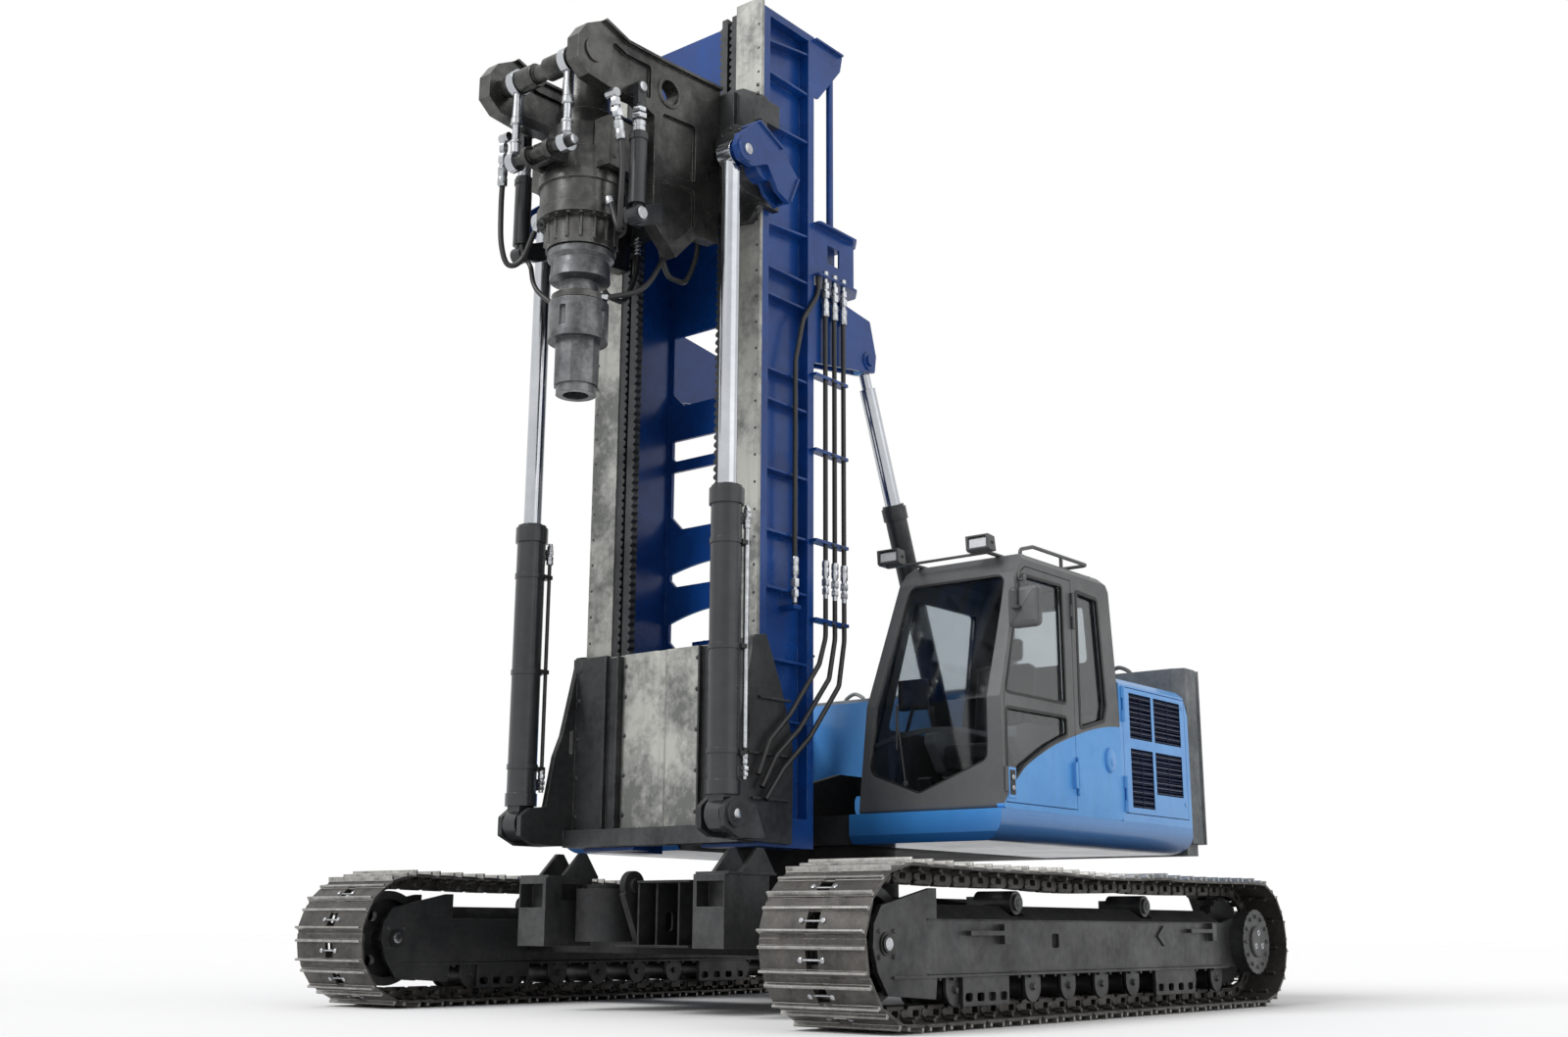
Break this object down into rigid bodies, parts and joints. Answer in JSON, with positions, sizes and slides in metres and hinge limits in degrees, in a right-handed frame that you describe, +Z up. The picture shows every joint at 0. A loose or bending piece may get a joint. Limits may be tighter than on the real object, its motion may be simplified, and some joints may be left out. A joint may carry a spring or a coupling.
{
  "type": "tracked pile driver rig",
  "caption": "Tracked pile driver rig with a slewing upper machine, a cab, a leaning mast and a sliding rotary drive head held by two lift cylinders.",
  "frame": {"origin": "on the ground, under the middle of the machine's overall box", "axes": "+X forward to the mast, +Y to the machine's left where the cab is, +Z up"},
  "size_m": [6.184, 5.11, 7.396],
  "materials": {
    "track_steel": "worn steel shoes with polished lugs",
    "dark_steel": "dark grey painted cast steel",
    "barrel_steel": "dark satin paint",
    "spindle_steel": "worn grey steel",
    "mast_paint": "deep blue semi-gloss paint",
    "sky_paint": "light blue gloss paint",
    "cab_paint": "charcoal satin paint",
    "rail_steel": "mottled bare steel",
    "cast_grey": "grey painted castings",
    "chrome": "hard chrome",
    "hose_rubber": "black hydraulic hose",
    "seat_fabric": "dark woven seat cover",
    "glass": "lightly tinted safety glass"
  },
  "bodies": {
    "undercarriage": {"track_left": "track_steel", "track_right": "track_steel", "track_frames": "dark_steel", "idler_wheels": "dark_steel", "final_drives": "dark_steel", "track_rollers": "dark_steel", "centre_frame": "dark_steel", "rest_pedestals": "dark_steel"},
    "upper": {"upper_frame": "dark_steel", "side_skirts": "sky_paint", "cab_shell": "cab_paint", "cab_glass": "glass", "cab_interior": "seat_fabric", "roof_lamps": "cab_paint", "cab_fittings": "cab_paint", "engine_housing": "sky_paint", "engine_block": "dark_steel", "right_housing": "sky_paint", "counterweight": "cast_grey"},
    "cab_door": {"cab_door": "cab_paint", "cab_door_glass": "glass"},
    "engine_door_left": {"engine_door_left": "sky_paint"},
    "engine_door_right": {"engine_door_right": "sky_paint"},
    "mast": {"mast_frame": "mast_paint", "mast_rails": "rail_steel", "mast_racks": "dark_steel", "mast_head": "mast_paint", "foot_bracket": "dark_steel", "shield_plate": "rail_steel", "lift_barrels": "barrel_steel", "raker_lugs": "mast_paint", "hose_brackets": "mast_paint", "mast_hoses": "hose_rubber", "valve_bracket": "mast_paint"},
    "carriage": {"carriage_sled": "dark_steel", "lift_ears": "mast_paint", "lift_rods": "chrome", "head_arms": "dark_steel", "cross_shaft": "dark_steel", "rotary_drive": "dark_steel", "clamp_cylinders": "barrel_steel", "suspension_rods": "chrome"},
    "spindle": {"drill_spindle": "spindle_steel"},
    "raker_barrels": {"raker_barrels": "dark_steel"},
    "raker_rods": {"raker_rods": "chrome"}
  },
  "joints": [
    {"name": "slew", "type": "hinge", "parent": "undercarriage", "child": "upper", "pos_m": [-0.2, 0, 1.07], "axis": [0, 0, 1], "continuous": true},
    {"name": "mast_tilt", "type": "hinge", "parent": "upper", "child": "mast", "pos_m": [0.7, 0, 1.4], "axis": [0, -1, 0], "range_deg": [0, 10]},
    {"name": "carriage_slide", "type": "slide", "parent": "mast", "child": "carriage", "axis": [0, 0, 1], "range_m": [-1.8, 0]},
    {"name": "spindle_spin", "type": "hinge", "parent": "carriage", "child": "spindle", "pos_m": [2.516, 0, 4.7], "axis": [0, 0, 1], "continuous": true},
    {"name": "raker_swing", "type": "hinge", "parent": "upper", "child": "raker_barrels", "pos_m": [-1.06, 0, 1.6], "axis": [0, -1, 0], "range_deg": [-1, 12]},
    {"name": "raker_stroke", "type": "slide", "parent": "raker_barrels", "child": "raker_rods", "axis": [0.3568, 0, 0.9342], "range_m": [-0.4, 0.05]},
    {"name": "cab_door_swing", "type": "hinge", "parent": "upper", "child": "cab_door", "pos_m": [-0.565, 2.115, 2.2], "axis": [0, 0, 1], "range_deg": [0, 85]},
    {"name": "engine_door_left_swing", "type": "hinge", "parent": "upper", "child": "engine_door_left", "pos_m": [-1.3, 2.115, 1.9], "axis": [0, 0, -1], "range_deg": [0, 80]},
    {"name": "engine_door_right_swing", "type": "hinge", "parent": "upper", "child": "engine_door_right", "pos_m": [-1.3, -2.115, 1.9], "axis": [0, 0, 1], "range_deg": [0, 80]}
  ],
  "couplings": [
    {"joint": "raker_swing", "follows": "mast_tilt", "ratio": 0.909},
    {"joint": "raker_stroke", "follows": "mast_tilt", "m_per_rad": -1.743}
  ]
}
